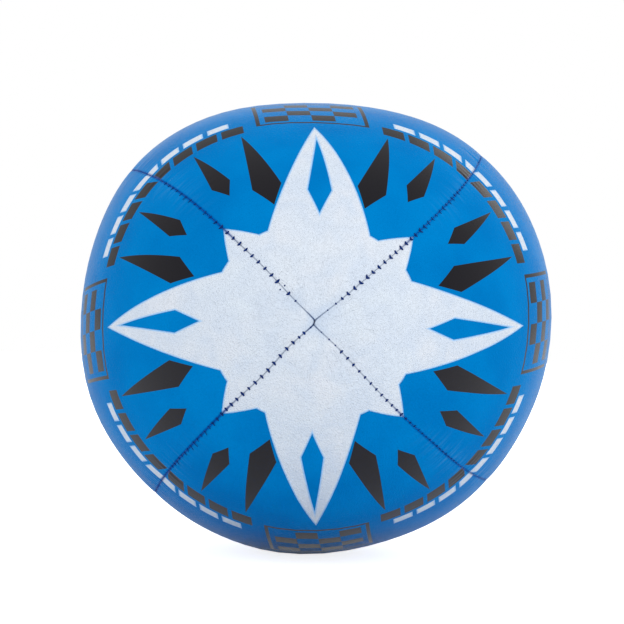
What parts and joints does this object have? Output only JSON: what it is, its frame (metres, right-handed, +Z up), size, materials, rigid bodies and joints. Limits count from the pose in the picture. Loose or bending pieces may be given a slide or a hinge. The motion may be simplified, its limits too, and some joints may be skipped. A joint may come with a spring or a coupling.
{
  "type": "sponge rugby ball",
  "caption": "Soft oval play ball: a sponge core in stitched panels with turned-in seams, lying on its side on a small flat.",
  "frame": {"origin": "on the ground, in the middle of the small flat under the ball, which is the bottom centre of its box", "axes": "+Y along the ball's long axis, away from the pictured tip; +Z up; +X to the right as seen facing that tip"},
  "size_m": [0.1596, 0.228, 0.1524],
  "materials": {
    "cover": "fine-grained synthetic leather, satin",
    "thread": "twisted polyester sewing thread, matt",
    "sponge": "open-celled foam, matt"
  },
  "bodies": {
    "root": {"sponge_core": "sponge", "cover_panel_right": "cover", "cover_panel_top": "cover", "cover_panel_left": "cover", "cover_panel_bottom": "cover", "seam_thread_upper_right": "thread", "seam_thread_upper_left": "thread", "seam_thread_lower_left": "thread", "seam_thread_lower_right": "thread", "closing_stitch": "thread"}
  },
  "joints": []
}
